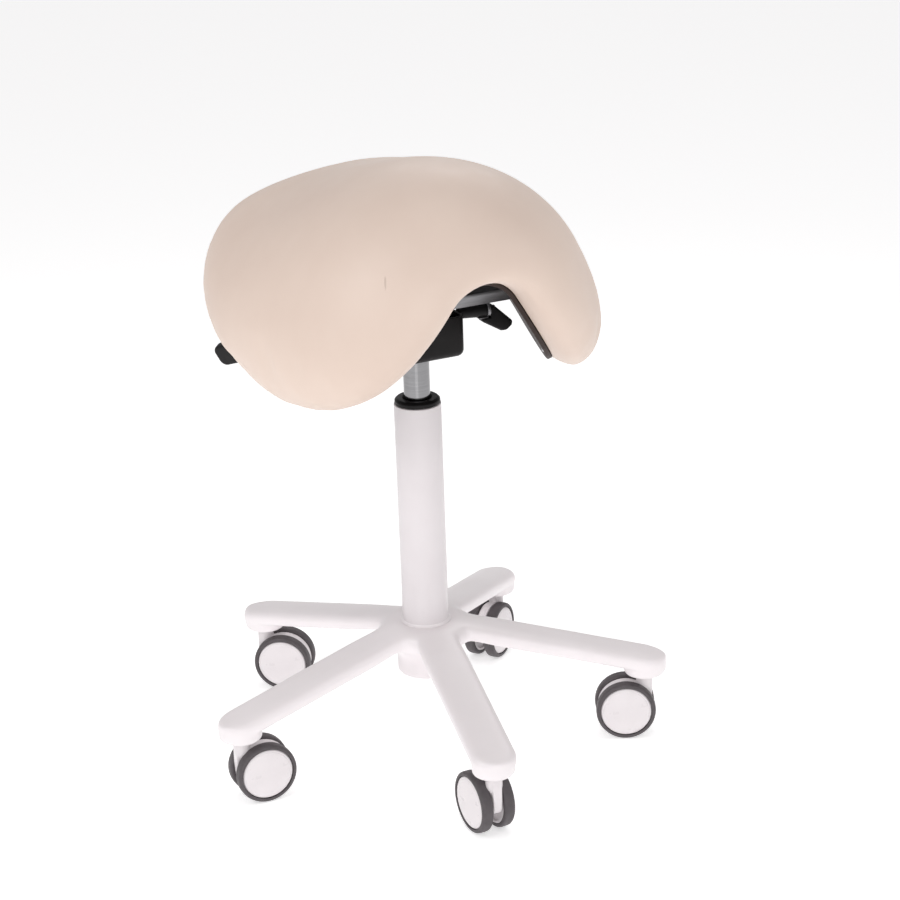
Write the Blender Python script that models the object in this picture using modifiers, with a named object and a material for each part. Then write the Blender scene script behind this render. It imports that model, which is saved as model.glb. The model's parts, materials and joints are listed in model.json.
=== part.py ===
"""Saddle stool: five-star base on twin-wheel casters, gas spring, tilt
mechanism and a padded saddle.  Metres, +Z up, floor at z = 0.

The stool is laid out about the column axis, with the saddle's narrow front
towards -Y and its width along X.  An empty then moves the whole stool so that
the origin is the centre of its footprint on the floor.
"""
import math

import bmesh
import bpy
from mathutils import Matrix, Vector

# ---------------------------------------------------------------- dimensions
MM = 0.001

# where the column axis stands, so that the bounding box is centred on the origin
COLUMN_X = 0.0113
COLUMN_Y = 0.0116

# five-star base
LEG_ANGLE_1 = -26.9            # degrees, first leg, the others follow every 72
LEG_PIVOT_R = 236.1 * MM       # column axis to caster pivot
LEG_HALF_WIDTH = 23.8 * MM
LEG_THICK = 17.5 * MM
LEG_TOP_IN, LEG_TOP_OUT = 139.0 * MM, 97.5 * MM   # top face at r = 45 and 236 mm


# casters
WHEEL_R = 32.5 * MM
WHEEL_HALF_GAUGE = 12.5 * MM
TRAIL = 20.9 * MM
CASTER_HEADINGS = (154.5, 218.8, -34.4, -1.2, 92.0)   # pivot to axle, degrees

# mechanism
TILT_PIN_Y, TILT_PIN_Z = 24.0 * MM, 484.0 * MM
PLATE_Z = 513.0 * MM           # underside of the seat bracket

# saddle: a swept arch.  s runs across it over the ridge, v along it
SADDLE_TILT = -0.2221          # radians, front raised
SADDLE_V0, SADDLE_Z0 = 9.6, 576.0    # mm, centre of the ridge under the pad
HALF_LENGTH, HALF_SPAN = 176.4, 233.5  # mm, along and across (over the ridge)
TAPER = -0.2638                 # flaps are longer in front
FRONT_POWER, REAR_POWER = 0.830, 0.601
SWEEP, SWEEP_POWER = 63.7, 1.20  # mm, how far the flaps lie behind the ridge
RIDGE_2, RIDGE_3 = -20.1, 41.5  # mm, rise of the ridge
ARCH_R, ARCH_DR = 123.0, 90.9   # mm, arch radius: narrow front, broad rear
ARCH_ANGLE, ARCH_DANGLE = 1.195, 0.0541
FLARE = -0.1414
PAD_T, PAD_EDGE, PAD_BULGE = 73.2, 88.4, 15.4   # mm
PAD_TUCK = 13.3                 # mm, the pad's lower edge and the shell lie this far in
SHELL_T, SHELL_GAP = 5.5, 0.5   # mm

# ------------------------------------------------------------------- scene
for old in list(bpy.data.objects):
    bpy.data.objects.remove(old, do_unlink=True)

parts = bpy.data.collections.new("saddle_stool")
tools = bpy.data.collections.new("cutters")
bpy.context.scene.collection.children.link(parts)
bpy.context.scene.collection.children.link(tools)


def material(name, colour, rough, metal=0.0):
    m = bpy.data.materials.new(name)
    m.use_nodes = True
    b = m.node_tree.nodes["Principled BSDF"]
    b.inputs["Base Color"].default_value = (*colour, 1.0)
    b.inputs["Roughness"].default_value = rough
    b.inputs["Metallic"].default_value = metal
    m.diffuse_color = (*colour, 1.0)
    return m


LOOK = {
    "white_enamel": ((0.86, 0.84, 0.85), 0.35, 0.0),
    "white_plastic": ((0.88, 0.86, 0.87), 0.30, 0.0),
    "black_plastic": ((0.02, 0.02, 0.02), 0.45, 0.0),
    "black_metal": ((0.03, 0.03, 0.03), 0.40, 0.5),
    "chrome": ((0.80, 0.80, 0.80), 0.08, 1.0),
    "steel": ((0.56, 0.55, 0.54), 0.30, 1.0),
    "grey_metal": ((0.20, 0.20, 0.21), 0.45, 0.6),
    "tyre": ((0.10, 0.09, 0.095), 0.70, 0.0),
    "rubber": ((0.03, 0.03, 0.03), 0.80, 0.0),
    "shell": ((0.035, 0.025, 0.02), 0.50, 0.0),
    "leather": ((0.74, 0.60, 0.52), 0.55, 0.0),
}

root = bpy.data.objects.new("stool_on_floor", None)
root.location = (COLUMN_X, COLUMN_Y, 0)
parts.objects.link(root)


def put(name, mesh, look, parent=root, matrix=None):
    ob = bpy.data.objects.new(name, mesh)
    parts.objects.link(ob)
    ob.parent = parent
    if matrix is not None:
        ob.matrix_local = matrix
    if not mesh.materials:
        mesh.materials.append(None)
    ob.material_slots[0].link = "OBJECT"
    ob.material_slots[0].material = material(name, *LOOK[look])
    return ob


def temp(mesh, matrix=None, hidden=True):
    ob = bpy.data.objects.new("tool", mesh)
    tools.objects.link(ob)
    if matrix is not None:
        ob.matrix_world = matrix
    ob.hide_render = True
    ob.display_type = "WIRE"
    return ob


def frozen(ob, weld=True):
    """The evaluated mesh of a working object, which is then removed."""
    bpy.context.view_layer.update()
    dg = bpy.context.evaluated_depsgraph_get()
    mesh = bpy.data.meshes.new_from_object(ob.evaluated_get(dg), depsgraph=dg)
    mesh.transform(ob.matrix_world)
    bpy.data.objects.remove(ob, do_unlink=True)
    if not weld:
        return mesh
    bm = bmesh.new()
    bm.from_mesh(mesh)
    bmesh.ops.remove_doubles(bm, verts=bm.verts, dist=1e-6)
    bm.to_mesh(mesh)
    bm.free()
    return mesh


def smooth(mesh, angle=40):
    mesh.shade_smooth()
    mesh.set_sharp_from_angle(angle=math.radians(angle))
    return mesh


def turned(profile, steps, closed=False):
    """A profile of (radius, height) in mm, turned about Z.  It runs down the
    outer side, top to bottom."""
    mesh = bpy.data.meshes.new("turned")
    pts = [(r * MM, 0, z * MM) for r, z in profile]
    n = len(pts)
    edges = [(i, i + 1) for i in range(n - 1)] + ([(n - 1, 0)] if closed else [])
    mesh.from_pydata(pts, edges, [])
    ob = temp(mesh)
    mod = ob.modifiers.new("Screw", "SCREW")
    mod.axis = "Z"
    mod.angle = 2 * math.pi
    mod.steps = mod.render_steps = steps
    mod.use_merge_vertices = True
    mod.merge_threshold = 1e-5
    return smooth(frozen(ob))


def block(x0, x1, y0, y1, z0, z1, bevel=0.0, segments=2):
    """A box between two corners, in mm, with rounded edges."""
    mesh = bpy.data.meshes.new("block")
    bm = bmesh.new()
    bmesh.ops.create_cube(bm, size=1.0)
    for v in bm.verts:
        v.co = Vector(((x0 + x1) / 2 + v.co.x * (x1 - x0),
                       (y0 + y1) / 2 + v.co.y * (y1 - y0),
                       (z0 + z1) / 2 + v.co.z * (z1 - z0))) * MM
    bm.to_mesh(mesh)
    bm.free()
    if not bevel:
        return mesh
    ob = temp(mesh)
    mod = ob.modifiers.new("Bevel", "BEVEL")
    mod.width = bevel * MM
    mod.segments = segments
    return frozen(ob)


def rod(p0, p1, radius, steps=16):
    """A round bar between two points, in mm."""
    a, b = Vector(p0) * MM, Vector(p1) * MM
    mesh = bpy.data.meshes.new("rod")
    bm = bmesh.new()
    bmesh.ops.create_cone(bm, cap_ends=True, segments=steps, radius1=radius * MM,
                          radius2=radius * MM, depth=(b - a).length)
    turn = (b - a).to_track_quat("Z", "Y").to_matrix().to_4x4()
    bmesh.ops.transform(bm, matrix=Matrix.Translation((a + b) / 2) @ turn, verts=bm.verts)
    bm.to_mesh(mesh)
    bm.free()
    return mesh


def combined(base, *steps):
    """Boolean steps, each ("UNION" or "DIFFERENCE", mesh), on a base mesh."""
    ob = temp(base)
    others = []
    for kind, mesh in steps:
        other = temp(mesh)
        others.append(other)
        mod = ob.modifiers.new(kind, "BOOLEAN")
        mod.operation = kind
        mod.object = other
        mod.solver = "EXACT"
    mesh = frozen(ob, weld=False)
    for other in others:
        bpy.data.objects.remove(other, do_unlink=True)
    return smooth(mesh)


def together(meshes):
    """Separate closed forms in one mesh."""
    bm = bmesh.new()
    for mesh in meshes:
        bm.from_mesh(mesh)
    out = bpy.data.meshes.new("together")
    bm.to_mesh(out)
    bm.free()
    return out


def plate(outline, y0, y1, holes=()):
    """A flat outline in the XZ plane (mm), between y0 and y1, with round holes
    (x, z, radius)."""
    curve = bpy.data.curves.new("plate", "CURVE")
    curve.dimensions = "2D"
    curve.fill_mode = "BOTH"
    curve.extrude = abs(y1 - y0) / 2 * MM
    for ring in [outline] + [
        [(x + r * math.cos(a), z + r * math.sin(a))
         for a in (2 * math.pi * i / 16 for i in range(16))] for x, z, r in holes
    ]:
        sp = curve.splines.new("POLY")
        sp.points.add(len(ring) - 1)
        for p, (x, z) in zip(sp.points, ring):
            p.co = (x * MM, z * MM, 0, 1)
        sp.use_cyclic_u = True
    ob = bpy.data.objects.new("plate", curve)
    tools.objects.link(ob)
    ob.matrix_world = Matrix.Translation((0, (y0 + y1) / 2 * MM, 0)) @ Matrix.Rotation(
        math.pi / 2, 4, "X")
    return frozen(ob)


def shifted(mesh, matrix):
    mesh = mesh.copy()
    mesh.transform(matrix)
    return mesh


# -------------------------------------------------------------- saddle form
def saddle_mid(s, v, lift):
    """A point of the saddle, in mm: s across over the ridge, v along, and lift
    outwards from the surface that the pad rests on."""
    def section(v):
        t = v / HALF_LENGTH
        r = max(ARCH_R + ARCH_DR * t, 15.0)
        full = min(max(ARCH_ANGLE + ARCH_DANGLE * t, 0.2), 1.55)
        a = abs(s)
        th = min(a / r, full)
        over = max(a - r * full, 0.0)
        end = full - FLARE * min(over / 150.0, 1.0)
        mean = (full + end) / 2
        x = r * math.sin(th) + over * math.cos(mean)
        z = -(r * (1 - math.cos(th)) + over * math.sin(mean))
        z += RIDGE_2 * t * t + RIDGE_3 * t ** 3
        ang = end if over > 0 else th
        return x, z, ang

    sign = 1.0 if s >= 0 else -1.0
    x, z, ang = section(v)
    x2, z2, _ = section(v + 2.0)
    across = Vector((math.cos(ang), 0, -math.sin(ang)))
    along = Vector(((x2 - x) / 2.0, 1.0, (z2 - z) / 2.0))
    n = across.cross(along).normalized()
    p = Vector((x, v, z)) + n * lift
    p.x *= sign
    ct, st = math.cos(SADDLE_TILT), math.sin(SADDLE_TILT)
    return Vector((p.x, p.y * ct - p.z * st + SADDLE_V0, p.y * st + p.z * ct + SADDLE_Z0))


def saddle_outline(n):
    """The edge of the saddle in (s, v), closer set round the front of the arch,
    with the support distance that turns a distance from the edge into a scale."""
    fine = 600
    pts = []
    for i in range(fine):
        a = 2 * math.pi * i / fine
        a += 0.27 * math.sin(2 * a)
        c, d = math.cos(a), math.sin(a)
        e = FRONT_POWER if d < 0 else REAR_POWER
        s = math.copysign(abs(c) ** e, c) * HALF_SPAN
        v = math.copysign(abs(d) ** e, d) * HALF_LENGTH
        far = math.sqrt((s / HALF_SPAN) ** 2 + 0.0025) - 0.05
        v += SWEEP * max(far, 0.0) ** SWEEP_POWER
        s *= 1 + TAPER * v / HALF_LENGTH
        pts.append(Vector((s, v)))
    dist = [0.0]
    for i in range(fine):
        a, b = pts[i], pts[(i + 1) % fine]
        weight = 1.0 + (3.0 * math.exp(-(a.x / 42) ** 2) if a.y < 0 else 0.0)
        dist.append(dist[-1] + (b - a).length * weight)
    # start at the rear of the ridge, so that both halves are alike
    start = dist[fine // 4]
    even, j = [], 0
    for i in range(n):
        want = start + dist[-1] * i / n
        want -= dist[-1] if want >= dist[-1] else 0.0
        while dist[j + 1] <= want:
            j += 1
        while dist[j] > want:
            j -= 1
        t = (want - dist[j]) / max(dist[j + 1] - dist[j], 1e-9)
        even.append(pts[j].lerp(pts[(j + 1) % fine], t))
    out = []
    for i, p in enumerate(even):
        d = even[(i + 1) % n] - even[i - 1]
        w = d.length
        out.append((p.x, p.y, abs(d.y / w * p.x - d.x / w * p.y)))
    return out


def ring(outline, inset, lift, share=1.0):
    """One loop of points, inset (mm) from the edge and lifted off the surface."""
    loop = []
    for s, v, support in outline:
        q = (1 - inset / support) * share
        loop.append(saddle_mid(s * q, v * q, lift))
    return loop


def flat_inset(deg):
    """Insets for the rings of a flat side, closer together near its edge."""
    return PAD_TUCK + (PAD_EDGE - PAD_TUCK) * (1 - math.cos(math.radians(deg)))


def side_inset(deg):
    """Insets for the padded side: drawn in at its foot and bulging above it."""
    a = math.radians(deg)
    foot = max(0.0, 1 - math.sin(a) / math.sin(math.radians(26))) ** 2
    return PAD_EDGE * (1 - math.cos(a)) - PAD_BULGE * math.sin(2 * a) + PAD_TUCK * foot


def loft(rings, first=None, last=None):
    """A closed form through loops of points; first and last are end points."""
    bm = bmesh.new()
    loops = [[bm.verts.new(p * MM) for p in loop] for loop in rings]
    n = len(loops[0])
    for a, b in zip(loops, loops[1:]):
        for i in range(n):
            j = (i + 1) % n
            bm.faces.new((a[i], a[j], b[j]))
            bm.faces.new((a[i], b[j], b[i]))
    for point, loop, flip in ((first, loops[0], True), (last, loops[-1], False)):
        if point is not None:
            tip = bm.verts.new(point * MM)
            for i in range(n):
                j = (i + 1) % n
                bm.faces.new((loop[j], loop[i], tip) if flip else (loop[i], loop[j], tip))
    bmesh.ops.recalc_face_normals(bm, faces=bm.faces)
    mesh = bpy.data.meshes.new("loft")
    bm.to_mesh(mesh)
    bm.free()
    return smooth(mesh, 60)


# ------------------------------------------------------------------ the base
def leg_mesh():
    """One leg along +X: a loft of rounded sections, with a half-round end."""
    hw, th = LEG_HALF_WIDTH / MM, LEG_THICK / MM
    pivot = LEG_PIVOT_R / MM
    z_in, z_out = LEG_TOP_IN / MM, LEG_TOP_OUT / MM

    def top(r):
        return z_in + (z_out - z_in) * (r - 45) / (pivot - 45)

    loops = []
    stations = [34, 75, 130, 185, pivot]
    stations += [pivot + hw * math.sin(math.radians(a)) for a in (20, 38, 54, 68, 79)]
    for r in stations:
        w = hw if r <= pivot else math.sqrt(max(hw * hw - (r - pivot) ** 2, 1.0))
        k = w / hw
        zt = top(r) - (0 if r <= pivot else 2.0 * (1 - k) ** 1.5)
        section = [(-w + 5 * k, zt - th), (-w + 1.6 * k, zt - th + 3.5), (-w, zt - 6.5),
                   (-w + 1.6 * k, zt - 2.4), (-w + 5.5 * k, zt - 0.3), (0, zt + 0.5 * k),
                   (w - 5.5 * k, zt - 0.3), (w - 1.6 * k, zt - 2.4), (w, zt - 6.5),
                   (w - 1.6 * k, zt - th + 3.5), (w - 5 * k, zt - th)]
        loops.append([Vector((r, y, z)) for y, z in section])
    mid = (top(stations[0]) - th / 2)
    return loft(loops, Vector((stations[0], 0, mid)),
                Vector((pivot + hw * 0.998, 0, top(pivot + hw) - th / 2 - 1)))


def base_star():
    hub = turned([(0, 142), (36, 142), (43, 141.2), (48, 139), (51, 135), (52, 130),
                  (52, 124.2), (48, 119.5), (40, 116), (34, 111), (32, 105), (32, 86),
                  (30, 83), (0, 83)], 32)
    leg = leg_mesh()
    boss = turned([(0, 88), (22.0, 88), (22.0, 74.5), (19.5, 71.5), (0, 71.5)], 24)
    socket = rod((LEG_PIVOT_R / MM, 0, 60), (LEG_PIVOT_R / MM, 0, 91.5), 6.0, 12)
    turns = [Matrix.Rotation(math.radians(LEG_ANGLE_1 + 72 * i), 4, "Z") for i in range(5)]
    legs = together([shifted(leg, t) for t in turns])
    bosses = together([shifted(boss, t @ Matrix.Translation((LEG_PIVOT_R, 0, 0)))
                       for t in turns])
    holes = together([shifted(socket, t) for t in turns]
                     + [rod((0, 0, 70), (0, 0, 160), 25.35, 32)])
    steps = [("UNION", legs), ("UNION", bosses), ("DIFFERENCE", holes)]
    return combined(hub, *steps)


put("base_star", base_star(), "white_enamel")
put("column_tube", turned([(25, 389), (25, 85), (24.5, 84.5), (23, 84.5), (23, 390), (24, 390)],
                          32, closed=True), "white_enamel")
put("column_guide_bush", turned([(14.35, 395.0), (15.5, 396.5), (21.5, 396.5), (24.2, 394.5),
                                 (24.2, 390.4), (22.6, 390.4), (22.6, 300), (14.35, 300)],
                                28, closed=True), "black_plastic")
put("column_base_plate", turned([(22.6, 92), (22.6, 87.5), (5.5, 87.5), (5.5, 92)], 24,
                                closed=True), "steel")
put("thrust_bearing", turned([(12, 98), (12, 92.4), (5.5, 92.4), (5.5, 98)], 24, closed=True),
    "steel")
put("rubber_bumper", turned([(10.5, 110), (11.5, 108), (11.5, 98.4), (5.6, 98.4), (5.6, 110)],
                            20, closed=True), "rubber")

# rod side of the gas spring, turning in the column
put("piston_rod", turned([(0, 358), (3, 358), (3, 346), (5, 346), (5, 84.5), (0, 84.5)], 20),
    "steel")
put("rod_clip", turned([(9, 87.1), (9, 85.7), (5.3, 85.7), (5.3, 87.1)], 20, closed=True),
    "steel")
put("piston", turned([(11.1, 356.5), (11.1, 346.4), (3.35, 346.4), (3.35, 356.5)], 24,
                     closed=True), "black_plastic")

# cylinder side, carrying the seat
put("gas_cylinder", turned([(2.95, 478), (12.7, 478), (13.7, 449), (14, 445), (14, 165.6),
                            (13.4, 165), (11.5, 165), (11.5, 452), (2.95, 452)], 28,
                           closed=True), "chrome")
put("rod_gland", turned([(11.2, 180), (11.2, 165.5), (5.35, 165.5), (5.35, 180)], 24,
                        closed=True), "black_plastic")
put("valve_pin", turned([(0, 484), (2.2, 484), (2.6, 483.4), (2.6, 455), (0, 455)], 14), "steel")

# ------------------------------------------------------------- the mechanism
housing_out = block(-36, 36, -48, 48, 448, 492 + 12, bevel=8, segments=3)
housing = combined(
    housing_out,
    ("DIFFERENCE", block(-60, 60, -60, 60, 492, 520)),
    ("DIFFERENCE", block(-33, 33, -45, 45, 452.5, 500, bevel=3, segments=1)),
    ("UNION", turned([(0, 472), (18.5, 472), (19.5, 470), (19.5, 450), (0, 450)], 24)),
    ("DIFFERENCE", rod((0, 0, 440), (0, 0, 480), 14.45, 28)),
    ("DIFFERENCE", rod((-50, 24, 484), (50, 24, 484), 5.45)),
    ("DIFFERENCE", block(-45, -30, -6.2, 6.2, 479, 500)),
    ("DIFFERENCE", rod((30, -26, 488), (50, -26, 488), 3.35)),
)
put("mechanism_housing", housing, "black_metal")
pin_mesh = combined(rod((-45.5, 0, 0), (45.5, 0, 0), 5.0),
                    ("UNION", rod((-47.5, 0, 0), (-43.2, 0, 0), 7.5)))
pin = put("tilt_pin", pin_mesh, "steel",
          matrix=Matrix.Translation((0, TILT_PIN_Y, TILT_PIN_Z)))

# the height lever turns about Y where it passes through the housing's wall
HEIGHT_AXIS = Vector((-31.0, 0, 487.6))


def bent_bar(points, radius, resolution=2):
    curve = bpy.data.curves.new("bar", "CURVE")
    curve.dimensions = "3D"
    curve.bevel_depth = radius * MM
    curve.bevel_resolution = resolution
    curve.use_fill_caps = True
    sp = curve.splines.new("POLY")
    sp.points.add(len(points) - 1)
    for p, q in zip(sp.points, points):
        p.co = (*(Vector(q) * MM), 1)
    ob = bpy.data.objects.new("bar", curve)
    tools.objects.link(ob)
    return smooth(frozen(ob))


def bend(a, b, c, cut, steps=4):
    """Points that round the corner b between a and c."""
    a, b, c = Vector(a), Vector(b), Vector(c)
    p, q = b + (a - b).normalized() * cut, b + (c - b).normalized() * cut
    return [tuple((1 - t) ** 2 * p + 2 * t * (1 - t) * b + t * t * q)
            for t in (i / steps for i in range(steps + 1))]


LEVER_END = Vector((-142.1, 133.0, 434.3))
lever_path = ([(4.5, 0, 488.3)] + bend((4.5, 0, 488.3), (-60, 0, 486.5), LEVER_END, 14)
              + [tuple(LEVER_END)])
lever_mesh = shifted(bent_bar(lever_path, 4.0), Matrix.Translation(-HEIGHT_AXIS * MM))
height_axis = bpy.data.objects.new("height_lever_axis", None)
height_axis.location = HEIGHT_AXIS * MM
height_axis.parent = root
parts.objects.link(height_axis)
put("height_lever", lever_mesh, "steel", parent=height_axis)


def soft_plate(outline, y0, y1, width):
    """A flat outline in XZ with softened edges."""
    ob = temp(plate(outline, y0, y1))
    mod = ob.modifiers.new("Bevel", "BEVEL")
    mod.width = width * MM
    mod.segments = 2
    mod.angle_limit = math.radians(35)
    return frozen(ob)


def aimed(origin, direction, roll=0.0):
    """A frame at origin (mm) whose X looks along direction."""
    x = Vector(direction).normalized()
    y = Vector((0, 0, 1)).cross(x).normalized()
    z = x.cross(y)
    m = Matrix((x, y, z)).transposed().to_4x4()
    m.translation = Vector(origin) * MM
    return m @ Matrix.Rotation(math.radians(roll), 4, "X")


lever_dir = (LEVER_END - Vector((-60, 0, 486.5))).normalized()
blade = [(0, -9.5), (6, -12.5), (50, -12.5), (54.5, -10.8), (57.2, -7), (58, -2), (58, 2),
         (57.2, 7), (54.5, 10.8), (50, 12.5), (6, 12.5), (0, 9.5)]
grip = combined(shifted(soft_plate(blade, -5.5, 5.5, 2.6),
                        aimed(LEVER_END - lever_dir * 24.5, lever_dir, -20)),
                ("DIFFERENCE", rod(LEVER_END - lever_dir * 40, LEVER_END + lever_dir * 0.5,
                                   4.35, 14)))
put("height_lever_paddle", shifted(grip, Matrix.Translation(-HEIGHT_AXIS * MM)), "black_plastic", parent=height_axis)

# the tilt lever turns about X in the housing's right wall
TILT_LEVER_AXIS = Vector((36, -26, 488))
tilt_axis = bpy.data.objects.new("tilt_lever_axis", None)
tilt_axis.location = TILT_LEVER_AXIS * MM
tilt_axis.parent = root
parts.objects.link(tilt_axis)
shaft_mesh = turned([(0, 44), (3.0, 44), (3.0, 36.5), (8.6, 36.4), (8.6, 33.2), (8.0, 32.6),
                     (5.4, 1.2), (3.0, 1.2), (3.0, -5.0), (0, -5.0)], 18)
shaft_mesh.transform(Matrix.Rotation(math.pi / 2, 4, "Y"))
put("tilt_lever_shaft", shaft_mesh, "black_metal", parent=tilt_axis)
tilt_outline = [(76.5, 492.8), (98.5, 472.0), (97.0, 467.5), (91.0, 462.8), (84.5, 463.3),
                (63.0, 476.4), (63.6, 479.4), (70, 486)]
tilt_grip = combined(soft_plate(tilt_outline, -33.0, -19.0, 2.2),
                     ("DIFFERENCE", block(55, 72.9, -50, 0, 478.9, 510)),
                     ("DIFFERENCE", rod((60, -26, 488), (80.5, -26, 488), 3.35)))
put("tilt_lever_paddle", shifted(tilt_grip, Matrix.Translation(-TILT_LEVER_AXIS * MM)), "black_plastic", parent=tilt_axis)

# ------------------------------------------------------------------ the seat
seat_pivot = bpy.data.objects.new("seat_tilt_axis", None)
seat_pivot.location = (0, TILT_PIN_Y, TILT_PIN_Z)
seat_pivot.parent = root
parts.objects.link(seat_pivot)
TO_PIVOT = Matrix.Translation((0, -TILT_PIN_Y, -TILT_PIN_Z))

N_EDGE = 48
edge = saddle_outline(N_EDGE)
shares = (0.24, 0.47, 0.68, 0.86)
pad_rings = []
for share in shares:
    pad_rings.append(ring(edge, PAD_EDGE, 0.0, share))
for deg in (90, 62, 38, 18, 0):
    pad_rings.append(ring(edge, flat_inset(deg), 0.0))
top_rings = []
for deg in (7, 15, 27, 41, 56, 73, 90):
    top_rings.append(ring(edge, side_inset(deg), PAD_T * math.sin(math.radians(deg))))
for share in reversed(shares):
    top_rings.append(ring(edge, PAD_EDGE, PAD_T, share))
cushion = loft(pad_rings + top_rings, saddle_mid(0, 0, 0.0), saddle_mid(0, 0, PAD_T))
put("seat_cushion", shifted(cushion, TO_PIVOT), "leather", parent=seat_pivot)

shell_rings = []
for share in shares:
    shell_rings.append(ring(edge, PAD_EDGE, -SHELL_GAP, share))
for deg in (90, 62, 38, 18, 0):
    shell_rings.append(ring(edge, flat_inset(deg), -SHELL_GAP))
under = []
for deg in (0, 18, 38, 62, 90):
    under.append(ring(edge, flat_inset(deg), -SHELL_GAP - SHELL_T))
for share in reversed(shares):
    under.append(ring(edge, PAD_EDGE, -SHELL_GAP - SHELL_T, share))
shell_rings += under
shell = loft(shell_rings, saddle_mid(0, 0, -SHELL_GAP), saddle_mid(0, 0, -SHELL_GAP - SHELL_T))


def wall_point(x_side, y, z_want, lift):
    """The point of the saddle's wall at a height and a distance along Y, found
    by halving; also its outward normal."""
    lo_s, hi_s = 5.0, 220.0
    v = y - SADDLE_V0
    for _ in range(6):
        lo_s, hi_s = 5.0, 220.0
        for _ in range(30):
            m = (lo_s + hi_s) / 2
            if saddle_mid(m, v, lift).z > z_want:
                lo_s = m
            else:
                hi_s = m
        p = saddle_mid(m, v, lift)
        v += y - p.y
    n = (saddle_mid(m, v, lift + 1.0) - p).normalized()
    return Vector((p.x * x_side, p.y, p.z)), Vector((n.x * x_side, n.y, n.z))


# the bracket: a level plate whose ends turn up along the inside of the shell
EAR_LIFT = -SHELL_GAP - SHELL_T - 2.2
BRACKET_T = 3.0
bm = bmesh.new()
rows = []
for y in (-55.0, -20.0, 15.0, 50.0):
    ear = []
    for z in (548.0, 538.0, 528.0, 520.0):
        ear.append(wall_point(1, y, z, EAR_LIFT)[0])
    low = wall_point(1, y, PLATE_Z / MM + 5.0, EAR_LIFT)[0]
    row = ear + [Vector((low.x - 2.0, y, PLATE_Z / MM + 2.0)), Vector((low.x - 7, y, PLATE_Z / MM))]
    row += [Vector((30, y, PLATE_Z / MM))]
    full = [p.copy() for p in row] + [Vector((-p.x, p.y, p.z)) for p in reversed(row)]
    rows.append([bm.verts.new(p * MM) for p in full])
for a, b in zip(rows, rows[1:]):
    for i in range(len(a) - 1):
        bm.faces.new((a[i], a[i + 1], b[i + 1], b[i]))
bmesh.ops.recalc_face_normals(bm, faces=bm.faces)
up = max(bm.faces, key=lambda f: f.calc_area()).normal.z
if up < 0:
    bmesh.ops.reverse_faces(bm, faces=bm.faces)
bracket_mesh = bpy.data.meshes.new("bracket")
bm.to_mesh(bracket_mesh)
bm.free()
bracket_ob = temp(bracket_mesh)
solid = bracket_ob.modifiers.new("Solidify", "SOLIDIFY")
solid.thickness = BRACKET_T * MM
solid.offset = 1.0
bracket_mesh = frozen(bracket_ob)

SCREWS = [(side, y) for side in (-1, 1) for y in (-32.0, 30.0)]
screw_frames = []
for side, y in SCREWS:
    p, n = wall_point(side, y, 534.0, -SHELL_GAP - SHELL_T)
    q = n.to_track_quat("Z", "Y").to_matrix().to_4x4()
    q.translation = p * MM
    screw_frames.append(q)
hole = rod((0, 0, -14), (0, 0, 4.4), 2.7, 12)
# the plate's front edge is turned down and reaches the shell on both sides
high = wall_point(1, -54.4, 514.6, -SHELL_GAP - SHELL_T)[0].x - 2.2
low = wall_point(1, -54.4, 503.5, -SHELL_GAP - SHELL_T)[0].x - 2.2
apron = plate([(-high, 514.6), (-low, 503.5), (low, 503.5), (high, 514.6)], -54.4, -51.8)
steps = [
    ("UNION", apron),
    ("UNION", block(-72, 72, 46.8, 49.4, 503.5, 514.6)),
]
# the lugs are drawn in XZ and turned to stand in YZ, one each side
lug = plate([(12, 514.4), (12, 486), (15, 478), (20, 474.5), (28, 474.5), (33, 478),
             (36, 486), (36, 514.4)], -1.5, 1.5, [(24, 484, 5.45)])
quarter = Matrix.Rotation(math.pi / 2, 4, "Z")
steps += [("UNION", shifted(lug, Matrix.Translation((x * MM, 0, 0)) @ quarter))
          for x in (-39.9, 39.9)]
steps += [("DIFFERENCE", shifted(hole, f)) for f in screw_frames]
bracket = combined(bracket_mesh, *steps)
put("seat_bracket", shifted(bracket, TO_PIVOT), "grey_metal", parent=seat_pivot)

shell = combined(shell, *[("DIFFERENCE", shifted(hole, f)) for f in screw_frames])
put("seat_shell", shifted(shell, TO_PIVOT), "shell", parent=seat_pivot)
screw = turned([(0, 4.0), (2.0, 4.0), (2.3, 3.4), (2.3, -6.8), (4.6, -6.8), (4.6, -8.6),
                (3.4, -9.8), (0, -9.8)], 12)
for i, f in enumerate(screw_frames):
    put(f"seat_screw_{i + 1}", shifted(screw, TO_PIVOT @ f), "steel", parent=seat_pivot)


# --------------------------------------------------------------- the casters
def arc(cx, cz, r, a0, a1, n):
    return [(cx + r * math.cos(math.radians(a)), cz + r * math.sin(math.radians(a)))
            for a in (a0 + (a1 - a0) * i / (n - 1) for i in range(n))]


tr, wr = TRAIL / MM, WHEEL_R / MM
fork_outline = (arc(tr, wr, 30.3, -12, 118, 12) + [(-8.6, 66), (-8.6, 44), (-8.0, 33),
                (-5.5, 28), (2, 25.5), (10, 23)] + arc(tr, wr, 11.5, 230, 330, 4))
fork_plate = plate(fork_outline, -5.2, 5.2, [(tr, wr, 4.3)])
fork_mesh = combined(fork_plate,
                     ("UNION", turned([(0, 69.6), (7.6, 69.6), (8.6, 68.4), (8.6, 60),
                                       (5.0, 56), (0, 56)], 18)),
                     ("DIFFERENCE", rod((0, 0, 57.5), (0, 0, 80), 5.4, 12)))
stem_mesh = turned([(0, 90.5), (4.4, 90.5), (5.1, 89.5), (5.1, 71.4), (9.5, 71.4), (9.5, 70.0),
                    (5.1, 70.0), (5.1, 58), (0, 58)], 14)
axle_mesh = rod((0, -15.4, 0), (0, 15.4, 0), 3.95, 12)
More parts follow.
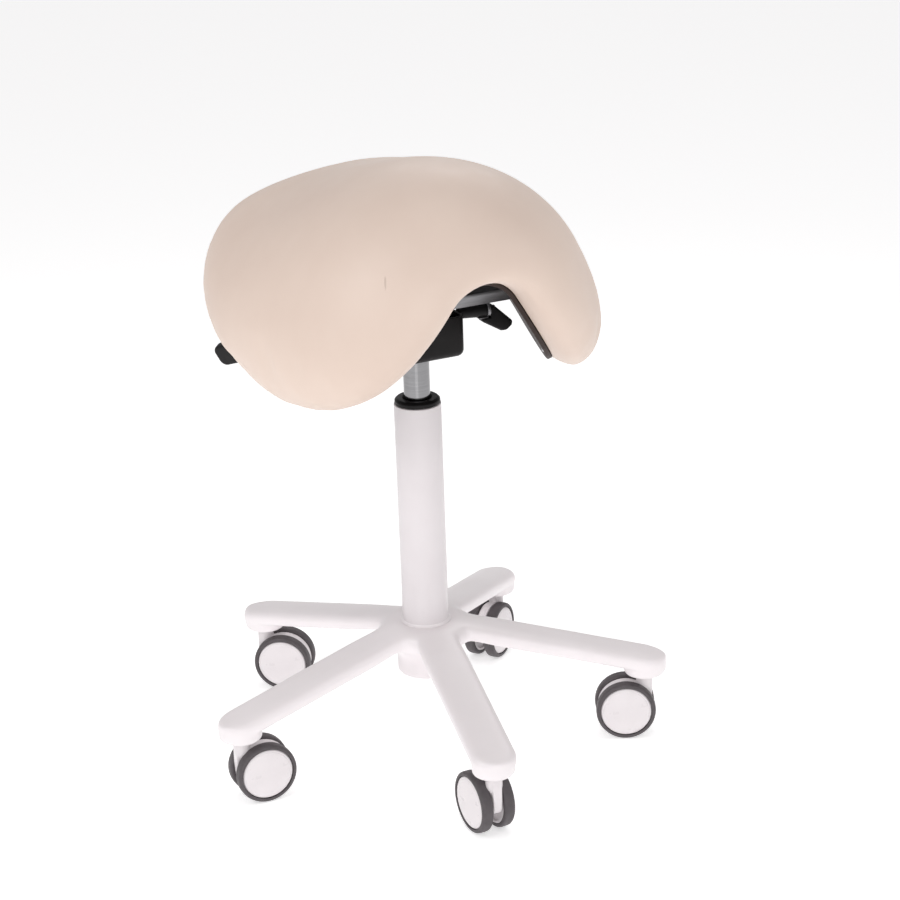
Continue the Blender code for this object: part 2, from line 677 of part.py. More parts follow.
# wheels are turned about Z, then laid on their side with the face outwards
face = Matrix.Rotation(math.radians(-90), 4, "X")      # +Z to +Y
wheel_raw = turned([(0, 7.2), (14, 6.9), (23.5, 6.2), (27.0, 5.0), (27.7, 3.8), (27.7, -5.9),
                    (4.4, -5.9), (4.4, 3.4), (0, 3.4)], 24)
tyre_raw = turned([(28.0, 6.2), (30.6, 6.2), (32.1, 4.8), (32.5, 3.2), (32.5, -4.6),
                   (31.2, -6.2), (28.0, -6.2)], 24, closed=True)
sides = {"l": shifted(wheel_raw, face), "r": shifted(wheel_raw, Matrix.Rotation(math.pi, 4, "Z") @ face)}
tyres = {"l": shifted(tyre_raw, face), "r": shifted(tyre_raw, Matrix.Rotation(math.pi, 4, "Z") @ face)}

for k in range(5):
    n = k + 1
    ang = math.radians(LEG_ANGLE_1 + 72 * k)
    pivot = bpy.data.objects.new(f"caster_{n}_axis", None)
    pivot.parent = root
    pivot.location = (LEG_PIVOT_R * math.cos(ang), LEG_PIVOT_R * math.sin(ang), 0)
    pivot.rotation_euler = (0, 0, math.radians(CASTER_HEADINGS[k]))
    parts.objects.link(pivot)
    put(f"caster_{n}_fork", fork_mesh, "white_plastic", parent=pivot)
    put(f"caster_{n}_stem", stem_mesh, "steel", parent=pivot)
    put(f"caster_{n}_axle", axle_mesh, "steel", parent=pivot,
        matrix=Matrix.Translation((TRAIL, 0, WHEEL_R)))
    for side, sign in (("l", 1), ("r", -1)):
        at = Matrix.Translation((TRAIL, sign * WHEEL_HALF_GAUGE, WHEEL_R))
        put(f"caster_{n}_wheel_{side}", sides[side], "white_plastic", parent=pivot, matrix=at)
        put(f"caster_{n}_tyre_{side}", tyres[side], "tyre", parent=pivot, matrix=at)

bpy.context.view_layer.update()
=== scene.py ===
"""Saddle stool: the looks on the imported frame.

The seat pad, its shell, the star base, the column and the casters are remade
here at full detail in the places of their CAD nodes. The pad is blown up by a
short cloth simulation and every surface has its own node material.
"""
import json
import math

import bmesh
import bpy
import numpy as np
from mathutils import Matrix, Vector, kdtree, noise


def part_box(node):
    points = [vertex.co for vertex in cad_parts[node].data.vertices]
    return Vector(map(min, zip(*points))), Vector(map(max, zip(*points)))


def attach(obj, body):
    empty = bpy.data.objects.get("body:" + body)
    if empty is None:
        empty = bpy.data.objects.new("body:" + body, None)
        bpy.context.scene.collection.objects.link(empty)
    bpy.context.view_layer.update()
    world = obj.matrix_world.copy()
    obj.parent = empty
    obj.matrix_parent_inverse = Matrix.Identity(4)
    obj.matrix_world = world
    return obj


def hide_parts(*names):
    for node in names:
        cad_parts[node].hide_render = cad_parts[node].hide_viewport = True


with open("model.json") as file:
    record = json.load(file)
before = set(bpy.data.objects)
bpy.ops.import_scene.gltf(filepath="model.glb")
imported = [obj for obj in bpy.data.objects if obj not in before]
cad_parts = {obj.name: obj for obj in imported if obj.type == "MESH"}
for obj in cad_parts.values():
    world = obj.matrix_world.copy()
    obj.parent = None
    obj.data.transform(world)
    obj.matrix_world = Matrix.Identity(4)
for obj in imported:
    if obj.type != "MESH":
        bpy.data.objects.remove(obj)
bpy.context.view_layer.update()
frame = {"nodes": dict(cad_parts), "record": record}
MM = 0.001
scene = bpy.context.scene

lo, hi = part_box("column_tube")
AXIS = Vector(((lo.x + hi.x) / 2, (lo.y + hi.y) / 2, 0))


# ----------------------------------------------------------------- materials
def procedural(name, tones, rough, bumps, metal=0.0, tone_scale=30.0, rough_scale=70.0,
               specular=0.5, coat=0.0, coat_rough=0.15, sheen=0.0, stretch=(1, 1, 1)):
    """A Principled material whose colour, roughness and relief vary.
    bumps: (kind, scale per metre, depth in mm, strength)."""
    m = bpy.data.materials.new(name)
    m.use_nodes = True
    nodes, links = m.node_tree.nodes, m.node_tree.links
    bsdf = nodes["Principled BSDF"]
    bsdf.inputs["Metallic"].default_value = metal
    bsdf.inputs["Specular IOR Level"].default_value = specular
    bsdf.inputs["Coat Weight"].default_value = coat
    bsdf.inputs["Coat Roughness"].default_value = coat_rough
    bsdf.inputs["Sheen Weight"].default_value = sheen
    coord = nodes.new("ShaderNodeTexCoord")
    mapping = nodes.new("ShaderNodeMapping")
    mapping.inputs["Scale"].default_value = stretch
    links.new(coord.outputs["Object"], mapping.inputs["Vector"])

    def cloud(scale, detail=4.0, roughness=0.55, offset=0.0):
        n = nodes.new("ShaderNodeTexNoise")
        n.inputs["Scale"].default_value = scale
        n.inputs["Detail"].default_value = detail
        n.inputs["Roughness"].default_value = roughness
        if offset:
            shift = nodes.new("ShaderNodeMapping")
            shift.inputs["Location"].default_value = (offset, offset * 0.7, -offset)
            links.new(mapping.outputs["Vector"], shift.inputs["Vector"])
            links.new(shift.outputs["Vector"], n.inputs["Vector"])
        else:
            links.new(mapping.outputs["Vector"], n.inputs["Vector"])
        return n

    ramp = nodes.new("ShaderNodeValToRGB")
    ramp.color_ramp.elements[0].position = 0.3
    ramp.color_ramp.elements[1].position = 0.7
    ramp.color_ramp.elements[0].color = (*tones[0], 1)
    ramp.color_ramp.elements[1].color = (*tones[1], 1)
    links.new(cloud(tone_scale).outputs["Fac"], ramp.inputs["Fac"])
    links.new(ramp.outputs["Color"], bsdf.inputs["Base Color"])

    spread = nodes.new("ShaderNodeMapRange")
    spread.inputs["From Min"].default_value = 0.32
    spread.inputs["From Max"].default_value = 0.68
    spread.inputs["To Min"].default_value = rough[0]
    spread.inputs["To Max"].default_value = rough[1]
    links.new(cloud(rough_scale, 5.0, 0.6, 3.1).outputs["Fac"], spread.inputs["Value"])
    links.new(spread.outputs["Result"], bsdf.inputs["Roughness"])

    last = None
    for kind, scale, depth, strength in bumps:
        if kind == "noise":
            out = cloud(scale, 3.0, 0.5, 7.7).outputs["Fac"]
        else:
            v = nodes.new("ShaderNodeTexVoronoi")
            v.feature = "DISTANCE_TO_EDGE" if kind == "cells" else "SMOOTH_F1"
            v.inputs["Scale"].default_value = scale
            links.new(mapping.outputs["Vector"], v.inputs["Vector"])
            soft = nodes.new("ShaderNodeMapRange")
            soft.interpolation_type = "SMOOTHSTEP"
            soft.inputs["From Min"].default_value = 0.0
            soft.inputs["From Max"].default_value = 0.28 if kind == "cells" else 0.9
            links.new(v.outputs["Distance"], soft.inputs["Value"])
            out = soft.outputs["Result"]
        b = nodes.new("ShaderNodeBump")
        b.inputs["Strength"].default_value = strength
        b.inputs["Distance"].default_value = depth * MM
        links.new(out, b.inputs["Height"])
        if last:
            links.new(last.outputs["Normal"], b.inputs["Normal"])
        last = b
    if last:
        links.new(last.outputs["Normal"], bsdf.inputs["Normal"])
    return m


LOOK = {
    "leather": procedural("beige_leather", ((0.672, 0.540, 0.462), (0.708, 0.578, 0.498)),
                          (0.40, 0.52), [("noise", 26, 1.2, 0.10), ("cells", 780, 0.10, 0.22),
                                         ("noise", 2300, 0.05, 0.15)],
                          tone_scale=9, rough_scale=22, specular=0.42, sheen=0.05),
    "shell": procedural("brown_shell", ((0.026, 0.015, 0.012), (0.038, 0.023, 0.018)),
                        (0.50, 0.64), [("noise", 1500, 0.06, 0.25)], tone_scale=60,
                        specular=0.25),
    "white_enamel": procedural("white_enamel", ((0.838, 0.790, 0.803), (0.868, 0.822, 0.836)),
                               (0.30, 0.40), [("noise", 420, 0.05, 0.20), ("noise", 60, 0.15, 0.06)],
                               tone_scale=14, rough_scale=35, specular=0.5, coat=0.15,
                               coat_rough=0.18),
    # the column's enamel is the base's white enamel made darker: painted shade
    "white_column": procedural("column_enamel_painted_shade", ((0.715, 0.672, 0.686), (0.745, 0.704, 0.717)),
                               (0.30, 0.40), [("noise", 420, 0.05, 0.20), ("noise", 60, 0.15, 0.06)],
                               tone_scale=14, rough_scale=35, specular=0.5, coat=0.15,
                               coat_rough=0.18),
    "white_plastic": procedural("white_plastic", ((0.745, 0.704, 0.717), (0.785, 0.745, 0.757)),
                                (0.26, 0.40), [("noise", 900, 0.03, 0.15)], tone_scale=45,
                                rough_scale=120),
    "black_plastic": procedural("black_plastic", ((0.005, 0.0045, 0.005), (0.009, 0.008, 0.008)),
                                (0.42, 0.54), [("bumps", 1300, 0.06, 0.35)], tone_scale=90,
                                specular=0.2),
    "black_metal": procedural("black_metal", ((0.005, 0.004, 0.004), (0.009, 0.0075, 0.0075)),
                              (0.36, 0.50), [("bumps", 900, 0.07, 0.30)], tone_scale=60,
                              specular=0.2),
    "grey_metal": procedural("grey_steel", ((0.23, 0.225, 0.235), (0.30, 0.295, 0.305)),
                             (0.32, 0.46), [("noise", 500, 0.03, 0.3)], metal=0.9,
                             tone_scale=40, stretch=(1, 9, 9)),
    "steel": procedural("bright_steel", ((0.50, 0.50, 0.52), (0.60, 0.60, 0.61)),
                        (0.20, 0.34), [("noise", 600, 0.02, 0.25)], metal=1.0, tone_scale=60),
    # the chrome's colour is kept dark so that its sides read dark: painted shade standing in for dark reflections
    "chrome": procedural("chrome_painted_dark_reflection", ((0.245, 0.243, 0.250), (0.285, 0.283, 0.290)),
                         (0.07, 0.14), [("noise", 300, 0.01, 0.12)], metal=1.0,
                         tone_scale=40, stretch=(1, 1, 14)),
    "rubber": procedural("black_rubber", ((0.014, 0.014, 0.014), (0.024, 0.023, 0.022)),
                         (0.62, 0.76), [("noise", 900, 0.06, 0.3)]),
    "tyre": procedural("grey_tyre", ((0.062, 0.053, 0.057), (0.083, 0.072, 0.077)),
                       (0.44, 0.62), [("noise", 1100, 0.05, 0.3), ("noise", 140, 0.12, 0.12)],
                       tone_scale=75, rough_scale=160),
}


# ------------------------------------------------------------------ geometry
def rounded(points, steps=4):
    """A profile whose corners (x, z, radius) are rounded."""
    out = []
    n = len(points)
    for i, p in enumerate(points):
        r = p[2] if len(p) > 2 else 0
        if not r or i in (0, n - 1):
            out.append(Vector((p[0], p[1])))
            continue
        a, b, c = (Vector(q[:2]) for q in (points[i - 1], p, points[i + 1]))
        u, w = (a - b), (c - b)
        k = min(r, 0.48 * u.length, 0.48 * w.length)
        s, e = b + u.normalized() * k, b + w.normalized() * k
        for j in range(steps + 1):
            t = j / steps
            out.append(s * (1 - t) ** 2 + b * 2 * t * (1 - t) + e * t * t)
    return out


def lathe(points, segments=72, closed=False, steps=4):
    """Mesh data of a turned form, in mm, about Z."""
    prof = rounded(points, steps)
    verts, faces = [], []
    rows = []
    for p in prof:
        if p.x < 1e-6:
            rows.append([len(verts)])
            verts.append((0, 0, p.y))
            continue
        rows.append(list(range(len(verts), len(verts) + segments)))
        for j in range(segments):
            a = 2 * math.pi * j / segments
            verts.append((p.x * math.cos(a), p.x * math.sin(a), p.y))
    pairs = list(zip(rows, rows[1:]))
    if closed:
        pairs.append((rows[-1], rows[0]))
    for a, b in pairs:
        for j in range(segments):
            k = (j + 1) % segments
            if len(a) == 1 and len(b) == 1:
                break
            if len(a) == 1:
                faces.append((a[0], b[j], b[k]))
            elif len(b) == 1:
                faces.append((a[j], b[0], a[k]))
            else:
                faces.append((a[j], b[j], b[k], a[k]))
    return verts, faces


def mesh_of(name, verts, faces, scale=MM):
    me = bpy.data.meshes.new(name)
    me.from_pydata([tuple(c * scale for c in v) for v in verts], [], faces)
    bm = bmesh.new()
    bm.from_mesh(me)
    bmesh.ops.recalc_face_normals(bm, faces=bm.faces)
    bm.to_mesh(me)
    bm.free()
    return me


def shaded(me, angle=38):
    me.polygons.foreach_set("use_smooth", [True] * len(me.polygons))
    if angle:
        me.set_sharp_from_angle(angle=math.radians(angle))
    return me


def piece(name, me, look, body, replaces=(), matrix=None):
    ob = bpy.data.objects.new(name, me)
    scene.collection.objects.link(ob)
    me.materials.clear()
    me.materials.append(LOOK[look])
    ob.matrix_world = matrix or Matrix.Identity(4)
    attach(ob, body)
    if replaces:
        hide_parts(*([replaces] if isinstance(replaces, str) else replaces))
    return ob


def applied(ob, remove=True):
    """The mesh of an object with its modifiers applied."""
    bpy.context.view_layer.update()
    dg = bpy.context.evaluated_depsgraph_get()
    me = bpy.data.meshes.new_from_object(ob.evaluated_get(dg))
    if remove:
        bpy.data.objects.remove(ob, do_unlink=True)
    return me


def loose(me):
    ob = bpy.data.objects.new("loose", me)
    scene.collection.objects.link(ob)
    return ob


def melted(meshes, voxel, rounds, keep=None):
    """Closed meshes grown into one skin whose inner corners are soft."""
    bm = bmesh.new()
    for me in meshes:
        bm.from_mesh(me)
    me = bpy.data.meshes.new("melted")
    bm.to_mesh(me)
    bm.free()
    ob = loose(me)
    rem = ob.modifiers.new("Remesh", "REMESH")
    rem.mode = "VOXEL"
    rem.voxel_size = voxel * MM
    rem.use_smooth_shade = True
    me = applied(ob)
    ob = loose(me)
    if keep:
        group = ob.vertex_groups.new(name="soft")
        for v in me.vertices:
            w = keep(v.co)
            if w > 0:
                group.add([v.index], w, "REPLACE")
        s = ob.modifiers.new("Blend", "SMOOTH")
        s.vertex_group = "soft"
        s.factor, s.iterations = 0.5, rounds[1]
    s = ob.modifiers.new("Smooth", "SMOOTH")
    s.factor, s.iterations = 0.5, rounds[0]
    me = applied(ob)
    return shaded(me, 0)


def moved(me, matrix):
    out = me.copy()
    out.transform(matrix)
    return out


def box_mesh(x0, x1, y0, y1, z0, z1, bevel=0.0, segments=4):
    me = bpy.data.meshes.new("box")
    bm = bmesh.new()
    bmesh.ops.create_cube(bm, size=1.0)
    for v in bm.verts:
        v.co = Vector(((x0 + x1) / 2 + v.co.x * (x1 - x0), (y0 + y1) / 2 + v.co.y * (y1 - y0),
                       (z0 + z1) / 2 + v.co.z * (z1 - z0))) * MM
    bm.to_mesh(me)
    bm.free()
    if not bevel:
        return me
    ob = loose(me)
    mod = ob.modifiers.new("Bevel", "BEVEL")
    mod.width, mod.segments = bevel * MM, segments
    return applied(ob)


def bar(p0, p1, radius, steps=48):
    a, b = Vector(p0) * MM, Vector(p1) * MM
    me = bpy.data.meshes.new("bar")
    bm = bmesh.new()
    bmesh.ops.create_cone(bm, cap_ends=True, segments=steps, radius1=radius * MM,
                          radius2=radius * MM, depth=(b - a).length)
    turn = (b - a).to_track_quat("Z", "Y").to_matrix().to_4x4()
    bmesh.ops.transform(bm, matrix=Matrix.Translation((a + b) / 2) @ turn, verts=bm.verts)
    bm.to_mesh(me)
    bm.free()
    return me


def joined(base, *steps, edge=0.0, segments=3, angle=35):
    """Booleans on a base mesh, then a small bevel on what is sharp."""
    ob = loose(base)
    others = []
    for kind, me in steps:
        other = loose(me)
        others.append(other)
        mod = ob.modifiers.new(kind, "BOOLEAN")
        mod.operation, mod.object, mod.solver = kind, other, "EXACT"
    me = applied(ob)
    for other in others:
        bpy.data.objects.remove(other, do_unlink=True)
    if edge:
        ob = loose(me)
        mod = ob.modifiers.new("Edge", "BEVEL")
        mod.width, mod.segments = edge * MM, segments
        mod.limit_method, mod.angle_limit = "ANGLE", math.radians(angle)
        mod.use_clamp_overlap = True
        me = applied(ob)
    return shaded(me, 40)


def upright(outline, y0, y1):
    n = len(outline)
    verts = [(x, y0, z) for x, z in outline] + [(x, y1, z) for x, z in outline]
    faces = [tuple(range(n)), tuple(reversed(range(n, 2 * n)))]
    faces += [(i, i + n, (i + 1) % n + n, (i + 1) % n) for i in range(n)]
    return mesh_of("upright", verts, faces)


def aimed(origin, direction, roll=0.0):
    x = Vector(direction).normalized()
    y = Vector((0, 0, 1)).cross(x).normalized()
    m = Matrix((x, y, x.cross(y))).transposed().to_4x4()
    m.translation = Vector(origin) * MM
    return m @ Matrix.Rotation(math.radians(roll), 4, "X")


def soft_upright(outline, y0, y1, width):
    ob = loose(upright(outline, y0, y1))
    mod = ob.modifiers.new("Bevel", "BEVEL")
    mod.width, mod.segments, mod.angle_limit = width * MM, 6, math.radians(35)
    return applied(ob)


# ---------------------------------------------------------------- the saddle
SADDLE_TILT = -0.2221
SADDLE_V0, SADDLE_Z0 = 9.6, 576.0
HALF_LENGTH, HALF_SPAN = 176.4, 233.5
TAPER = -0.2638
FRONT_POWER, REAR_POWER = 0.830, 0.601
SWEEP, SWEEP_POWER = 63.7, 1.20
RIDGE_2, RIDGE_3 = -20.1, 41.5
ARCH_R, ARCH_DR = 123.0, 90.9
ARCH_ANGLE, ARCH_DANGLE = 1.195, 0.0541
FLARE = -0.1414
PAD_T, PAD_EDGE, PAD_BULGE = 73.2, 88.4, 15.4
PAD_TUCK = 13.3
SHELL_T, SHELL_GAP = 5.5, 0.5
TIP_S, TIP_V = 176.5, -84.0
TO_ROW = Matrix.Translation(AXIS)


def saddle_mid(s, v, lift):
    """A point of the saddle in mm: s over the ridge, v along, lift outwards."""
    def section(v):
        t = v / HALF_LENGTH
        r = max(ARCH_R + ARCH_DR * t, 15.0)
        full = min(max(ARCH_ANGLE + ARCH_DANGLE * t, 0.2), 1.55)
        a = abs(s)
        th = min(a / r, full)
        over = max(a - r * full, 0.0)
        end = full - FLARE * min(over / 150.0, 1.0)
        mean = (full + end) / 2
        x = r * math.sin(th) + over * math.cos(mean)
        z = -(r * (1 - math.cos(th)) + over * math.sin(mean))
        z += RIDGE_2 * t * t + RIDGE_3 * t ** 3
        return x, z, end if over > 0 else th

    x, z, ang = section(v)
    x2, z2, _ = section(v + 2.0)
    across = Vector((math.cos(ang), 0, -math.sin(ang)))
    along = Vector(((x2 - x) / 2.0, 1.0, (z2 - z) / 2.0))
    n = across.cross(along).normalized()
    p = Vector((x, v, z)) + n * lift
    p.x *= 1.0 if s >= 0 else -1.0
    ct, st = math.cos(SADDLE_TILT), math.sin(SADDLE_TILT)
    return Vector((p.x, p.y * ct - p.z * st + SADDLE_V0, p.y * st + p.z * ct + SADDLE_Z0))


def saddle_outline(n):
    pts = []
    for i in range(n):
        a = 2 * math.pi * i / n
        a += 0.27 * math.sin(2 * a)
        c, d = math.cos(a), math.sin(a)
        e = FRONT_POWER if d < 0 else REAR_POWER
        s = math.copysign(abs(c) ** e, c) * HALF_SPAN
        v = math.copysign(abs(d) ** e, d) * HALF_LENGTH
        far = math.sqrt((s / HALF_SPAN) ** 2 + 0.0025) - 0.05
        v += SWEEP * max(far, 0.0) ** SWEEP_POWER
        s *= 1 + TAPER * v / HALF_LENGTH
        pts.append(Vector((s, v)))
    # even steps along the edge
    dist = [0.0]
    for i in range(n):
        dist.append(dist[-1] + (pts[(i + 1) % n] - pts[i]).length)
    m = n // 2
    even, j = [], 0
    for i in range(m):
        want = dist[-1] * i / m
        while dist[j + 1] < want:
            j += 1
        t = (want - dist[j]) / max(dist[j + 1] - dist[j], 1e-9)
        even.append(pts[j].lerp(pts[(j + 1) % n], t))
    out = []
    for i, p in enumerate(even):
        d = even[(i + 1) % m] - even[i - 1]
        w = d.length
        out.append((p.x, p.y, abs(d.y / w * p.x - d.x / w * p.y)))
    return out


def ring(outline, inset, lift, share=1.0):
    return [saddle_mid(s * (1 - inset / q) * share, v * (1 - inset / q) * share, lift)
            for s, v, q in outline]


def flat_inset(deg):
    return PAD_TUCK + (PAD_EDGE - PAD_TUCK) * (1 - math.cos(math.radians(deg)))


def side_inset(deg):
    a = math.radians(deg)
    foot = max(0.0, 1 - math.sin(a) / math.sin(math.radians(26))) ** 2
    return PAD_EDGE * (1 - math.cos(a)) - PAD_BULGE * math.sin(2 * a) + PAD_TUCK * foot


def loft(rings, first, last):
    verts, faces = [first], []
    n = len(rings[0])
    for r in rings:
        verts += r
    at = [1 + i * n for i in range(len(rings))]
    for a, b in zip(at, at[1:]):
        for j in range(n):
            k = (j + 1) % n
            faces.append((a + j, a + k, b + k, b + j))
    verts.append(last)
    for j in range(n):
        k = (j + 1) % n
        faces.append((at[0] + k, at[0] + j, 0))
        faces.append((at[-1] + j, at[-1] + k, len(verts) - 1))
    return verts, faces


edge = saddle_outline(560)
shares = [0.03 + 0.97 * i / 16 for i in range(16)]

under = [ring(edge, PAD_EDGE, 0.0, q) for q in shares]
under += [ring(edge, flat_inset(d), 0.0) for d in (90, 76, 62, 48, 36, 24, 13, 5)]
rim = []
for d in [0, 1, 3, 6, 9, 12, 15, 19, 23] + list(range(28, 91, 6)) + [90]:
    rim.append(ring(edge, side_inset(d), PAD_T * math.sin(math.radians(d))))
crown = [ring(edge, PAD_EDGE, PAD_T, q) for q in reversed(shares)]
pad_v, pad_f = loft(under + rim[:-1] + crown, saddle_mid(0, 0, 0), saddle_mid(0, 0, PAD_T))
pad_me = mesh_of("pad", pad_v, pad_f)


def blown(me, held, start_in, cap, voxel=5.0, frames=20):
    """A pad blown up by cloth under pressure. A remeshed copy, started start_in
    mm inside the surface, swells away from its held underside by at most cap mm,
    and the fine mesh follows it."""
    tree = kdtree.KDTree(len(held))
    for i, p in enumerate(held):
        tree.insert(p * MM, i)
    tree.balance()

    def free(p):
        d = tree.find(p)[2] / MM
        t = max(0.0, min(1.0, (d - 7.0) / 26.0))
        return t * t * (3 - 2 * t)

    normals = [v.normal.copy() for v in me.vertices]
    for v, n in zip(me.vertices, normals):
        v.co -= n * start_in * MM * free(v.co)
    ob = loose(me.copy())
    rem = ob.modifiers.new("Remesh", "REMESH")
    rem.mode = "VOXEL"
    rem.voxel_size = voxel * MM
    ob = loose(applied(ob))
    group = ob.vertex_groups.new(name="held")
    for v in ob.data.vertices:
        group.add([v.index], 1 - free(v.co), "REPLACE")
    cloth = ob.modifiers.new("Cloth", "CLOTH")
    cfg = cloth.settings
    cfg.quality = 6
    cfg.mass = 0.3
    cfg.tension_stiffness = cfg.compression_stiffness = 12
    cfg.shear_stiffness = 5
    cfg.bending_stiffness = 0.8
    cfg.vertex_group_mass = "held"
    cfg.use_pressure = True
    cfg.uniform_pressure_force = 4
    cfg.effector_weights.gravity = 0
    cloth.collision_settings.use_collision = False
    cloth.point_cache.frame_start, cloth.point_cache.frame_end = 1, frames
    rest = [v.co.copy() for v in ob.data.vertices]
    for f in range(1, frames + 1):
        scene.frame_set(f)
    out = applied(ob)
    shift = kdtree.KDTree(len(rest))
    moves = []
    for i, (a, v) in enumerate(zip(rest, out.vertices)):
        shift.insert(a, i)
        d = v.co - a
        if d.length > 1e-9:
            d *= cap * MM * math.tanh(d.length / (cap * MM)) / d.length
        moves.append(d)
    shift.balance()
    scene.frame_set(1)
    bpy.data.meshes.remove(out)
    found = []
    for v in me.vertices:
        total, acc = 0.0, Vector((0, 0, 0))
        for _, i, d in shift.find_n(v.co, 10):
            k = math.exp(-(d / (0.9 * voxel * MM)) ** 2) + 1e-9
            acc += moves[i] * k
            total += k
        found.append((free(v.co), acc / total))
    # what the pad swells by on average was taken off before
    swell = [m.dot(n) for (w, m), n in zip(found, normals) if w > 0.95]
    left = start_in * MM - sum(swell) / len(swell)
    print("mean swelling, mm:", round(sum(swell) / len(swell) / MM, 2))
    for v, n, (w, m) in zip(me.vertices, normals, found):
        v.co += (m + n * left) * w
    return me


START_IN, CAP = 3.4, 4.6
pad_me = blown(pad_me, [p for r in under[-9:] for p in r] + rim[0], START_IN, CAP)
pad = piece("seat_pad", shaded(pad_me, 50), "leather", "seat", "seat_cushion", TO_ROW)

shell_r = [ring(edge, PAD_EDGE, -SHELL_GAP, q) for q in shares]
shell_r += [ring(edge, flat_inset(d), -SHELL_GAP) for d in (90, 76, 62, 48, 36, 24, 15)]
shell_r += [ring(edge, PAD_TUCK + a, -SHELL_GAP - b) for a, b in
            ((0.9, 0), (0.3, 0.25), (0, 0.9), (0, SHELL_T - 1.2), (0.4, SHELL_T - 0.4),
             (1.2, SHELL_T))]
shell_r += [ring(edge, flat_inset(d), -SHELL_GAP - SHELL_T) for d in (15, 24, 36, 48, 62, 76, 90)]
shell_r += [ring(edge, PAD_EDGE, -SHELL_GAP - SHELL_T, q) for q in reversed(shares)]
shell_me = mesh_of("shell", *loft(shell_r, saddle_mid(0, 0, -SHELL_GAP),
                                  saddle_mid(0, 0, -SHELL_GAP - SHELL_T)))
piece("shell", shaded(shell_me, 50), "shell", "seat", "seat_shell", TO_ROW)


def creased(m, at, normal, along, width, length, depth):
    """A short pressed line in a material, at a place in the piece's own frame."""
    nodes, links = m.node_tree.nodes, m.node_tree.links
    n = Vector(normal).normalized()
    d = Vector(along)
    d = (d - n * d.dot(n)).normalized()
    coord = nodes.new("ShaderNodeTexCoord")
    off = nodes.new("ShaderNodeVectorMath")
    off.operation = "SUBTRACT"
    off.inputs[1].default_value = Vector(at) * MM
    links.new(coord.outputs["Object"], off.inputs[0])
    parts = nodes.new("ShaderNodeCombineXYZ")
    for i, (axis, size) in enumerate(((n.cross(d), width), (d, length), (n, 20.0))):
        dot = nodes.new("ShaderNodeVectorMath")
        dot.operation = "DOT_PRODUCT"
        dot.inputs[1].default_value = axis / (size * MM)
        links.new(off.outputs["Vector"], dot.inputs[0])
        links.new(dot.outputs["Value"], parts.inputs[i])
    reach = nodes.new("ShaderNodeVectorMath")
    reach.operation = "LENGTH"
    links.new(parts.outputs["Vector"], reach.inputs[0])
    line = nodes.new("ShaderNodeMapRange")
    line.interpolation_type = "SMOOTHERSTEP"
    line.inputs["To Min"].default_value = 0.0
    line.inputs["To Max"].default_value = 1.0
    links.new(reach.outputs["Value"], line.inputs["Value"])
    bsdf = nodes["Principled BSDF"]
    before = bsdf.inputs["Normal"].links[0].from_socket
    b = nodes.new("ShaderNodeBump")
    b.inputs["Strength"].default_value = 0.8
    b.inputs["Distance"].default_value = depth * MM
    links.new(line.outputs["Result"], b.inputs["Height"])
    links.new(before, b.inputs["Normal"])
    links.new(b.outputs["Normal"], bsdf.inputs["Normal"])


creased(LOOK["leather"], (-97.9, -155.4, 575.8), (-0.49, -0.66, 0.57), (4.8, 9.1, 14.8), 1.0, 9.5, 1.2)

# a small screw in each front corner of the shell
tip_me = joined(mesh_of("tip_screw", *lathe([(0, 1.0), (1.6, 0.9, 0.4), (2.4, 0.1, 0.3), (2.4, -0.6), (1.2, -0.6),
                                              (1.2, -3.4), (0, -3.4)], 40)),
                ("DIFFERENCE", box_mesh(-1.5, 1.5, -0.3, 0.3, 0.4, 2)),
                ("DIFFERENCE", box_mesh(-0.3, 0.3, -1.5, 1.5, 0.4, 2)))
for side in (-1, 1):
    p = saddle_mid(TIP_S * side, TIP_V, -SHELL_GAP - SHELL_T)
    n = p - saddle_mid(TIP_S * side, TIP_V, 0)
    spot = n.to_track_quat("Z", "Y").to_matrix().to_4x4()
    spot.translation = (p + n.normalized() * 0.5) * MM
    piece("tip_screw_" + ("l" if side < 0 else "r"), tip_me.copy(), "steel", "seat", (), TO_ROW @ spot)


# ------------------------------------------------------------------ the base
stems = {k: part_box(f"caster_{k}_stem") for k in range(1, 6)}
axles = {k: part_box(f"caster_{k}_axle") for k in range(1, 6)}
pivots = {k: Vector(((a.x + b.x) / 2, (a.y + b.y) / 2, 0)) for k, (a, b) in stems.items()}
hubs = {k: (a + b) / 2 for k, (a, b) in axles.items()}
PIVOT_R = (pivots[1] - AXIS).length / MM
HALF_W, THICK = 23.8, 17.5
Z_IN, Z_OUT = 139.0, 97.5


def leg_top(r):
    return Z_IN + (Z_OUT - Z_IN) * (r - 45) / (PIVOT_R - 45)


def leg_mesh():
    stations = [32, 42, 52, 64, 80, 100, 125, 155, 185, 212, PIVOT_R]
    stations += [PIVOT_R + HALF_W * math.sin(math.radians(a)) for a in
                 (10, 20, 30, 40, 50, 60, 70, 80, 86)]
    verts, rows = [], []
    for r in stations:
        w = HALF_W if r <= PIVOT_R else math.sqrt(max(HALF_W ** 2 - (r - PIVOT_R) ** 2, 1.0))
        k = w / HALF_W
        zt = leg_top(r)
        half = [(w - 4.5 * k, zt - THICK), (w - 1.6 * k, zt - THICK + 2.2), (w, zt - 8.5),
                (w - 0.4 * k, zt - 5.6), (w - 1.9 * k, zt - 3.0), (w - 4.4 * k, zt - 1.1),
                (w - 8.0 * k, zt - 0.2), (w * 0.4, zt + 0.4)]
        section = half + [(-a, b) for a, b in reversed(half)]
        rows.append(list(range(len(verts), len(verts) + len(section))))
        verts += [(r, a, b) for a, b in section]
    faces = [tuple(reversed(rows[0])), tuple(rows[-1])]
    for a, b in zip(rows, rows[1:]):
        for j in range(len(a)):
            k = (j + 1) % len(a)
            faces.append((a[j], a[k], b[k], b[j]))
    return mesh_of("leg", verts, faces)


